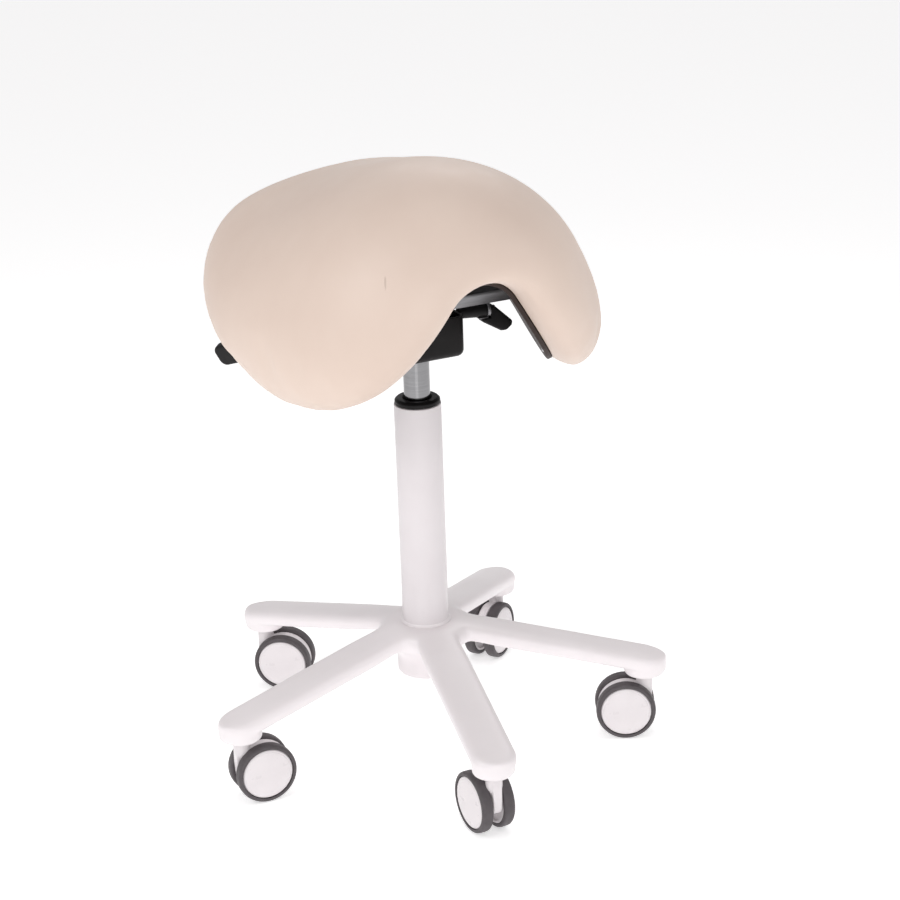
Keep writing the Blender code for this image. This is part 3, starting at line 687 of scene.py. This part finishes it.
hub_me = mesh_of("hub", *lathe([(25.6, 141.5), (37, 141.5), (44, 140.5, 3), (50, 136, 4),
                                (52, 129, 4), (48, 119.5, 4), (38, 114, 4), (32.2, 104, 4),
                                (32.2, 83, 1), (25.6, 83)], 96, closed=True))
boss_me = mesh_of("boss", *lathe([(0, 92), (22.2, 92), (22.2, 73.5, 2.5), (18.5, 71.3, 2), (0, 71.3)], 64))
leg_me = leg_mesh()
solids = [hub_me]
for k in range(1, 6):
    d = pivots[k] - AXIS
    turn = Matrix.Rotation(math.atan2(d.y, d.x), 4, "Z")
    solids.append(moved(leg_me, turn))
    solids.append(moved(boss_me, turn @ Matrix.Translation((PIVOT_R * MM, 0, 0))))


def near_hub(p):
    r = math.hypot(p.x, p.y) / MM
    if r < 30 or p.z < 0.098:
        return 0.0
    return max(0.0, min(1.0, (84 - r) / 22)) * min(1.0, (r - 30) / 8)


base_me = melted(solids, 1.7, (5, 46), near_hub)
piece("star_base", base_me, "white_enamel", "base", "base_star", TO_ROW)

tube_me = mesh_of("tube", *lathe([(23, 84.6), (24.9, 84.6, 0.5), (25, 389.8, 0.9), (23, 390, 0.3)],
                                 128, closed=True))
piece("outer_tube", shaded(tube_me), "white_column", "base", "column_tube", TO_ROW)
bead_me = mesh_of("bead", *lathe([(24.95, 140.4), (26.7, 140.4), (27.5, 141.9, 0.3), (26.2, 142.4),
                                  (25.4, 143.1), (24.95, 144.0, 0.2)], 96, closed=True))
piece("foot_fillet", shaded(bead_me, 60), "white_enamel", "base", (), TO_ROW)
bush_me = mesh_of("bush", *lathe([(14.4, 300), (14.4, 394.2, 0.8), (15.8, 396.4, 0.8),
                                  (21.6, 396.4, 1.0), (24.1, 394.2, 0.9), (24.1, 390.5, 0.4),
                                  (22.6, 390.5), (22.6, 300)], 96, closed=True))
piece("guide_bush", shaded(bush_me), "black_plastic", "base", "column_guide_bush", TO_ROW)
cyl_me = mesh_of("cyl", *lathe([(2.95, 478), (12.7, 478, 0.6), (13.7, 449, 2), (14, 445, 2),
                                (14, 165.6, 0.5), (13.4, 165, 0.5), (11.5, 165), (11.5, 452),
                                (2.95, 452)], 96, closed=True))
piece("gas_tube", shaded(cyl_me), "chrome", "lift", "gas_cylinder", TO_ROW)


# --------------------------------------------------------------- the casters
TRAIL, WHEEL_R = 20.9, 32.5


def arc(cx, cz, r, a0, a1, n):
    return [(cx + r * math.cos(math.radians(a)), cz + r * math.sin(math.radians(a)))
            for a in (a0 + (a1 - a0) * i / (n - 1) for i in range(n))]


outline = (arc(TRAIL, WHEEL_R, 30.1, -12, 118, 30)
           + [(-8.4, 66), (-8.4, 44), (-7.8, 33), (-5.5, 28), (2, 25.5), (10, 23)]
           + arc(TRAIL, WHEEL_R, 11.5, 230, 330, 8))
n = len(outline)
verts = [(x, -5.1, z) for x, z in outline] + [(x, 5.1, z) for x, z in outline]
faces = [tuple(range(n)), tuple(reversed(range(n, 2 * n)))]
faces += [(i, i + n, (i + 1) % n + n, (i + 1) % n) for i in range(n)]
hood_me = mesh_of("hood", verts, faces)
neck_me = mesh_of("neck", *lathe([(0, 69.6), (8.6, 69.6, 1.2), (8.9, 56, 3), (5, 47), (0, 47)], 48))
fork_me = melted([hood_me, neck_me], 0.9, (4, 0))
stem_me = shaded(mesh_of("stem", *lathe([(0, 90.4), (5.0, 90.4, 1), (5.1, 71.4), (9.4, 71.4, 0.3),
                                         (9.4, 70.0, 0.3), (5.1, 70.0), (5.1, 58), (0, 58)], 40)))
disc = lathe([(0, 7.3), (10, 7.15), (20, 6.7), (24.6, 6.25, 1.5), (25.2, 5.75, 0.4),
              (26.2, 5.75, 0.4), (27.1, 5.2, 0.8), (27.7, 4.2, 0.5), (27.7, -5.8, 0.4), (25.2, -5.8, 0.4),
              (24.8, -3.2, 0.8), (8.5, -3.2, 0.6), (8.2, -5.8, 0.4), (4.4, -5.8), (4.4, 2), (0, 2)], 96)
tread = lathe([(28.0, 6.2), (30.3, 6.3, 1.2), (32.0, 5.0, 1.8), (32.5, 2.8, 1.5), (32.5, -3.4, 1.5),
               (32.0, -5.2, 1.8), (30.6, -6.2, 1.0), (28.0, -6.2)], 120, closed=True)
disc_me, tread_me = shaded(mesh_of("disc", *disc)), shaded(mesh_of("tread", *tread))
face = Matrix.Rotation(math.radians(-90), 4, "X")
flip = Matrix.Rotation(math.pi, 4, "Z")
for k in range(1, 6):
    d = hubs[k] - pivots[k]
    heading = Matrix.Translation(pivots[k]) @ Matrix.Rotation(math.atan2(d.y, d.x), 4, "Z")
    body = f"caster_{k}"
    piece(f"hood_{k}", fork_me.copy(), "white_plastic", body, f"caster_{k}_fork", heading)
    piece(f"stem_{k}", stem_me.copy(), "steel", body, f"caster_{k}_stem", heading)
    for side, sign in (("l", 1), ("r", -1)):
        at = heading @ Matrix.Translation((TRAIL * MM, sign * 12.5 * MM, WHEEL_R * MM))
        at = at @ (face if sign > 0 else flip @ face)
        piece(f"wheel_{k}{side}", disc_me.copy(), "white_plastic", f"{body}_wheel_{side}",
              f"caster_{k}_wheel_{side}", at)
        piece(f"tyre_{k}{side}", tread_me.copy(), "tyre", f"{body}_wheel_{side}",
              f"caster_{k}_tyre_{side}", at)


# ------------------------------------------------------------- the mechanism
housing_me = joined(
    box_mesh(-36, 36, -48, 48, 448, 504, bevel=8, segments=8),
    ("DIFFERENCE", box_mesh(-60, 60, -60, 60, 492, 520)),
    ("DIFFERENCE", box_mesh(-33, 33, -45, 45, 452.5, 500, bevel=4, segments=4)),
    ("UNION", moved(mesh_of("sleeve", *lathe([(0, 472), (18.5, 472), (19.5, 470), (19.5, 450), (0, 450)],
                                             64)), Matrix.Identity(4))),
    ("DIFFERENCE", bar((0, 0, 440), (0, 0, 480), 14.4, 72)),
    ("DIFFERENCE", bar((-50, 24, 484), (50, 24, 484), 5.4)),
    ("DIFFERENCE", box_mesh(-45, -30, -6.2, 6.2, 479, 500)),
    ("DIFFERENCE", bar((30, -26, 488), (50, -26, 488), 3.3)),
    edge=0.5)
piece("housing", housing_me, "black_metal", "lift", "mechanism_housing", TO_ROW)
pin_me = joined(bar((-45.5, 24, 484), (45.5, 24, 484), 5.0),
                ("UNION", bar((-47.5, 24, 484), (-43.2, 24, 484), 7.5)), edge=0.6)
piece("tilt_pin_fine", pin_me, "steel", "lift", "tilt_pin", TO_ROW)

# height lever: a bent steel bar with a moulded blade on its end
LEVER_END = Vector((-142.1, 133.0, 434.3))
knee = Vector((-60, 0, 486.5))
root_end = Vector((4.5, 0, 488.3))
a, b = knee + (root_end - knee).normalized() * 14, knee + (LEVER_END - knee).normalized() * 14
run = [root_end] + [a * (1 - t) ** 2 + knee * 2 * t * (1 - t) + b * t * t
                    for t in (i / 10 for i in range(11))] + [LEVER_END]
curve = bpy.data.curves.new("lever", "CURVE")
curve.dimensions = "3D"
curve.bevel_depth, curve.bevel_resolution, curve.use_fill_caps = 4.0 * MM, 8, True
sp = curve.splines.new("POLY")
sp.points.add(len(run) - 1)
for p, q in zip(sp.points, run):
    p.co = (*(q * MM), 1)
lever_ob = bpy.data.objects.new("lever_curve", curve)
scene.collection.objects.link(lever_ob)
lever_me = applied(lever_ob)
piece("lever_bar", shaded(lever_me), "steel", "height_lever", "height_lever", TO_ROW)
lever_dir = (LEVER_END - knee).normalized()
corner = [(50 + 8 * math.sin(math.radians(t)), 4.5 + 8 * math.cos(math.radians(t)))
          for t in range(0, 91, 10)]
near = [(8 - 8 * math.sin(math.radians(t)), 6.5 + 6 * math.cos(math.radians(t))) for t in range(90, -1, -15)]
half = near + corner
outline = half + [(x, -z) for x, z in reversed(half)]
blade = joined(moved(soft_upright(outline, -5.5, 5.5, 3.0),
                     aimed(LEVER_END - lever_dir * 24.5, lever_dir, -20)),
               ("DIFFERENCE", bar(LEVER_END - lever_dir * 40, LEVER_END + lever_dir * 0.5, 4.3)))
piece("lever_blade", blade, "black_plastic", "height_lever", "height_lever_paddle", TO_ROW)

# tilt lever: a flared boss, a grey collar with a tongue, and a tapered grip
sideways = Matrix.Translation(Vector((36, -26, 488)) * MM) @ Matrix.Rotation(math.pi / 2, 4, "Y")
boss = mesh_of("tilt_boss", *lathe([(0, 44), (3.0, 44, 0.5), (3.0, 33), (8.0, 32.7, 0.8), (8.0, 31, 1),
                                    (5.4, 1.2, 0.6), (3.0, 1.2, 0.3), (3.0, -5.0, 0.5), (0, -5.0)], 72))
piece("tilt_boss", shaded(boss), "black_plastic", "tilt_lever", "tilt_lever_shaft", TO_ROW @ sideways)
collar = joined(moved(mesh_of("collar", *lathe([(3.1, 33.2), (8.2, 33.2, 0.5), (8.6, 36.4, 0.5),
                                                (3.1, 36.4)], 72, closed=True)), sideways),
                ("UNION", box_mesh(60.2, 70.6, -31.2, -23.0, 479.2, 480.6, bevel=0.4, segments=2)))
piece("tilt_collar", collar, "grey_metal", "tilt_lever", (), TO_ROW)
outline = [(76.5, 492.8), (98.5, 472.0), (97.0, 467.5), (91.0, 462.8), (84.5, 463.3),
           (63.0, 476.4), (63.6, 479.4), (70, 486)]
tilt_grip = joined(soft_upright(outline, -33.0, -19.0, 2.6),
                   ("DIFFERENCE", box_mesh(55, 72.9, -50, 0, 478.9, 510)),
                   ("DIFFERENCE", bar((60, -26, 488), (80.5, -26, 488), 3.3)), edge=0.5)
piece("tilt_grip", tilt_grip, "black_plastic", "tilt_lever", "tilt_lever_paddle", TO_ROW)


# the bracket under the shell
def wall_point(side, y, z_want, lift):
    """The saddle's wall at a height and a place along Y, and its normal."""
    v = y - SADDLE_V0
    for _ in range(6):
        lo_s, hi_s = 5.0, 220.0
        for _ in range(30):
            m = (lo_s + hi_s) / 2
            if saddle_mid(m, v, lift).z > z_want:
                lo_s = m
            else:
                hi_s = m
        p = saddle_mid(m, v, lift)
        v += y - p.y
    n = (saddle_mid(m, v, lift + 1.0) - p).normalized()
    return Vector((p.x * side, p.y, p.z)), Vector((n.x * side, n.y, n.z))


PLATE_Z = 513.0
EAR_LIFT = -SHELL_GAP - SHELL_T - 2.2
bm = bmesh.new()
rows = []
for i in range(13):
    y = -55 + 105 * i / 12
    ear = [wall_point(1, y, z, EAR_LIFT)[0] for z in (548, 543, 538, 533, 528, 523)]
    low = wall_point(1, y, PLATE_Z + 5, EAR_LIFT)[0]
    foot, flat = low, Vector((low.x - 7, y, PLATE_Z))
    corner = Vector((low.x - 1.2, y, PLATE_Z + 0.4))
    turn_in = [foot * (1 - t) ** 2 + corner * 2 * t * (1 - t) + flat * t * t
               for t in (0, 0.25, 0.5, 0.75, 1)]
    row = ear + turn_in + [Vector((30, y, PLATE_Z))]
    full = row + [Vector((-p.x, p.y, p.z)) for p in reversed(row)]
    rows.append([bm.verts.new(p * MM) for p in full])
for a, b in zip(rows, rows[1:]):
    for i in range(len(a) - 1):
        bm.faces.new((a[i], a[i + 1], b[i + 1], b[i]))
bmesh.ops.recalc_face_normals(bm, faces=bm.faces)
if max(bm.faces, key=lambda f: f.calc_area()).normal.z < 0:
    bmesh.ops.reverse_faces(bm, faces=bm.faces)
sheet_me = bpy.data.meshes.new("bracket")
bm.to_mesh(sheet_me)
bm.free()
ob = loose(sheet_me)
mod = ob.modifiers.new("Solidify", "SOLIDIFY")
mod.thickness, mod.offset = 3.0 * MM, 1.0
sheet_me = applied(ob)


high = wall_point(1, -54.4, 514.6, -SHELL_GAP - SHELL_T)[0].x - 2.2
low = wall_point(1, -54.4, 503.5, -SHELL_GAP - SHELL_T)[0].x - 2.2
lug = [(12, 514.4), (12, 486)] + [(24 + 12 * math.cos(math.radians(d)), 486.5 + 12 * math.sin(math.radians(d)))
                                  for d in range(190, 351, 10)] + [(36, 486), (36, 514.4)]
quarter = Matrix.Rotation(math.pi / 2, 4, "Z")
screw_frames = []
for side in (-1, 1):
    for y in (-32.0, 30.0):
        p, n = wall_point(side, y, 534.0, -SHELL_GAP - SHELL_T)
        q = n.to_track_quat("Z", "Y").to_matrix().to_4x4()
        q.translation = p * MM
        screw_frames.append(q)
steps = [("UNION", upright([(-high, 514.6), (-low, 503.5), (low, 503.5), (high, 514.6)], -54.4, -51.8)),
         ("UNION", box_mesh(-72, 72, 46.8, 49.4, 503.5, 514.6))]
steps += [("UNION", moved(upright(lug, -1.5, 1.5), Matrix.Translation((x * MM, 0, 0)) @ quarter))
          for x in (-39.9, 39.9)]
steps += [("DIFFERENCE", bar((-60, 24, 484), (60, 24, 484), 5.4))]
steps += [("DIFFERENCE", moved(bar((0, 0, -14), (0, 0, 4.4), 2.7, 24), f)) for f in screw_frames]
piece("bracket", joined(sheet_me, *steps, edge=0.45, segments=2), "grey_metal", "seat",
      "seat_bracket", TO_ROW)
screw_me = joined(
    mesh_of("screw", *lathe([(0, 4.0), (2.0, 4.0), (2.3, 3.4), (2.3, -6.8), (4.6, -6.8, 0.4),
                             (4.6, -8.8, 0.8), (3.4, -9.8, 0.6), (0, -9.8)], 48)),
    ("DIFFERENCE", mesh_of("socket", *lathe([(0, -8.0), (1.7, -8.0), (1.7, -12), (0, -12)], 6))))
for i, f in enumerate(screw_frames):
    piece(f"screw_{i + 1}", screw_me.copy(), "steel", "seat", f"seat_screw_{i + 1}", TO_ROW @ f)

# the turned pieces inside and under the column
TURNED = {
    "column_base_plate": ("base", "steel", [(22.6, 92), (22.6, 87.5, 0.4), (5.5, 87.5, 0.3), (5.5, 92)]),
    "thrust_bearing": ("base", "steel", [(12, 98, 0.8), (12, 92.4, 0.8), (5.5, 92.4), (5.5, 98)]),
    "rubber_bumper": ("base", "rubber", [(10.5, 110, 1), (11.5, 108, 1), (11.5, 98.4, 1), (5.6, 98.4),
                                         (5.6, 110)]),
    "rod_clip": ("rod", "steel", [(9, 87.1, 0.3), (9, 85.7, 0.3), (5.3, 85.7, 0.2), (5.3, 87.1)]),
    "piston": ("rod", "black_plastic", [(11.1, 356.5, 0.5), (11.1, 346.4, 0.5), (3.35, 346.4),
                                        (3.35, 356.5)]),
    "rod_gland": ("lift", "black_plastic", [(11.2, 180, 0.5), (11.2, 165.5, 0.5), (5.35, 165.5),
                                            (5.35, 180)]),
}
for name, (body, look, profile) in TURNED.items():
    piece(name + "_fine", shaded(mesh_of(name, *lathe(profile, 72, closed=True))), look, body, name,
          TO_ROW)
rod_me = mesh_of("rod", *lathe([(0, 358), (3, 358, 0.4), (3, 346), (5, 346), (5, 84.5, 0.5), (0, 84.5)], 64))
piece("rod_fine", shaded(rod_me), "steel", "rod", "piston_rod", TO_ROW)
valve_me = mesh_of("valve", *lathe([(0, 484), (2.2, 484, 0.4), (2.6, 483.4), (2.6, 455), (0, 455)], 48))
piece("valve_fine", shaded(valve_me), "steel", "valve", "valve_pin", TO_ROW)
axle_me = mesh_of("axle", *lathe([(0, 15.4), (3.95, 15.4, 0.5), (3.95, -15.4, 0.5), (0, -15.4)], 48))
for k in range(1, 6):
    d = hubs[k] - pivots[k]
    turn = Matrix.Translation(hubs[k]) @ Matrix.Rotation(math.atan2(d.y, d.x), 4, "Z") @ face
    piece(f"axle_{k}", shaded(axle_me.copy()), "steel", f"caster_{k}", f"caster_{k}_axle", turn)


# --------------------------------------------------------- the carried nodes
slot_of = {s["node"]: s["material_slot"] for s in frame["record"]["subparts"]}
for name, ob in frame["nodes"].items():
    ob.data.materials.clear()
    ob.data.materials.append(LOOK[slot_of[name]])

# ----------------------------------------------------------- stage and light
bm = bmesh.new()
bmesh.ops.create_grid(bm, x_segments=1, y_segments=1, size=14)
floor_me = bpy.data.meshes.new("floor")
bm.to_mesh(floor_me)
bm.free()
floor = bpy.data.objects.new("floor", floor_me)
scene.collection.objects.link(floor)
floor_mat = bpy.data.materials.new("pale_floor")
floor_mat.use_nodes = True
b = floor_mat.node_tree.nodes["Principled BSDF"]
b.inputs["Base Color"].default_value = (0.93, 0.93, 0.93, 1)
b.inputs["Roughness"].default_value = 0.9
b.inputs["Specular IOR Level"].default_value = 0.1
b.inputs["Emission Color"].default_value = (1, 1, 1, 1)
b.inputs["Emission Strength"].default_value = 0.46
floor_me.materials.append(floor_mat)

BETA = 0.4225


def from_photo_frame(v):
    c, s = math.cos(BETA), math.sin(BETA)
    return Vector((v[0] * c + v[1] * s, -v[0] * s + v[1] * c, v[2]))


# the studio round the stool: pale, with darker sides that give metal its edges
world = bpy.data.worlds.new("world")
world.use_nodes = True
wn, wl = world.node_tree.nodes, world.node_tree.links
wcoord = wn.new("ShaderNodeTexCoord")
wdot = wn.new("ShaderNodeVectorMath")
wdot.operation = "DOT_PRODUCT"
wdot.inputs[1].default_value = from_photo_frame((0.15, -0.96, 0.10)).normalized()
wramp = wn.new("ShaderNodeValToRGB")
stops = [(0.0, 0.62), (0.30, 0.48), (0.62, 0.30), (0.80, 0.48), (0.93, 0.85)]
while len(wramp.color_ramp.elements) < len(stops):
    wramp.color_ramp.elements.new(0.5)
for e, (at, value) in zip(wramp.color_ramp.elements, stops):
    e.position = at
    e.color = (value, value * 0.985, value * 0.99, 1)
wmap = wn.new("ShaderNodeMapRange")
wmap.inputs["From Min"].default_value = -1
wl.new(wcoord.outputs["Generated"], wdot.inputs[0])
wl.new(wdot.outputs["Value"], wmap.inputs["Value"])
wl.new(wmap.outputs["Result"], wramp.inputs["Fac"])
wl.new(wramp.outputs["Color"], wn["Background"].inputs["Color"])
wn["Background"].inputs["Strength"].default_value = 1.0
scene.world = world
scene.view_settings.view_transform = "Standard"

yaw, pitch, roll = math.radians(0.76), math.radians(20.82), math.radians(-1.96)
fwd = Vector((math.sin(yaw) * math.cos(pitch), math.cos(yaw) * math.cos(pitch), -math.sin(pitch)))
right = Vector((math.cos(yaw), -math.sin(yaw), 0))
up = right.cross(fwd)
right, up = (right * math.cos(roll) + up * math.sin(roll),
             -right * math.sin(roll) + up * math.cos(roll))
right, up, fwd = (from_photo_frame(v) for v in (right, up, fwd))
cam_data = bpy.data.cameras.new("camera")
cam_data.lens = 2476.7 * 36 / 900
cam_data.sensor_width = 36
camera = bpy.data.objects.new("camera", cam_data)
scene.collection.objects.link(camera)
pose = Matrix((right, up, -fwd)).transposed().to_4x4()
pose.translation = from_photo_frame((0, -2.44625, 1.2652)) + AXIS
camera.matrix_world = pose
scene.camera = camera


def softbox(name, place, aim, size, power, colour=(1, 1, 1)):
    data = bpy.data.lights.new(name, "AREA")
    data.shape = "RECTANGLE"
    data.size, data.size_y = size
    data.energy = power
    data.color = colour
    ob = bpy.data.objects.new(name, data)
    scene.collection.objects.link(ob)
    at = from_photo_frame(place) + AXIS
    target = from_photo_frame(aim) + AXIS
    ob.matrix_world = Matrix.Translation(at) @ (target - at).to_track_quat("-Z", "Y").to_matrix().to_4x4()
    return ob


softbox("front_box", (-0.1, -2.5, 0.95), (0, 0, 0.4), (1.4, 1.2), 5.2)
softbox("left_box", (-2.0, -1.4, 1.5), (0, 0, 0.4), (1.0, 1.2), 7.8)
softbox("right_box", (2.2, -0.6, 1.3), (0, 0, 0.4), (1.0, 1.4), 1.9)
softbox("top_box", (0.1, 0.4, 2.6), (0, 0, 0.2), (1.8, 1.8), 7.2)
softbox("base_box", (-0.1, -1.35, 0.78), (0, 0, 0.05), (1.2, 0.4), 1.05)
softbox("low_box", (0.0, -1.05, 0.09), (0, 0, 0.42), (0.42, 0.16), 0.09)
softbox("side_box_left", (-0.95, -0.55, 1.15), (0, 0, 0.08), (0.5, 0.3), 2.8)
softbox("side_box_right", (0.98, -0.35, 1.15), (0, 0, 0.08), (0.5, 0.3), 1.9)
softbox("side_box_back", (0.2, 1.1, 1.15), (0, 0, 0.08), (0.8, 0.3), 2.0)
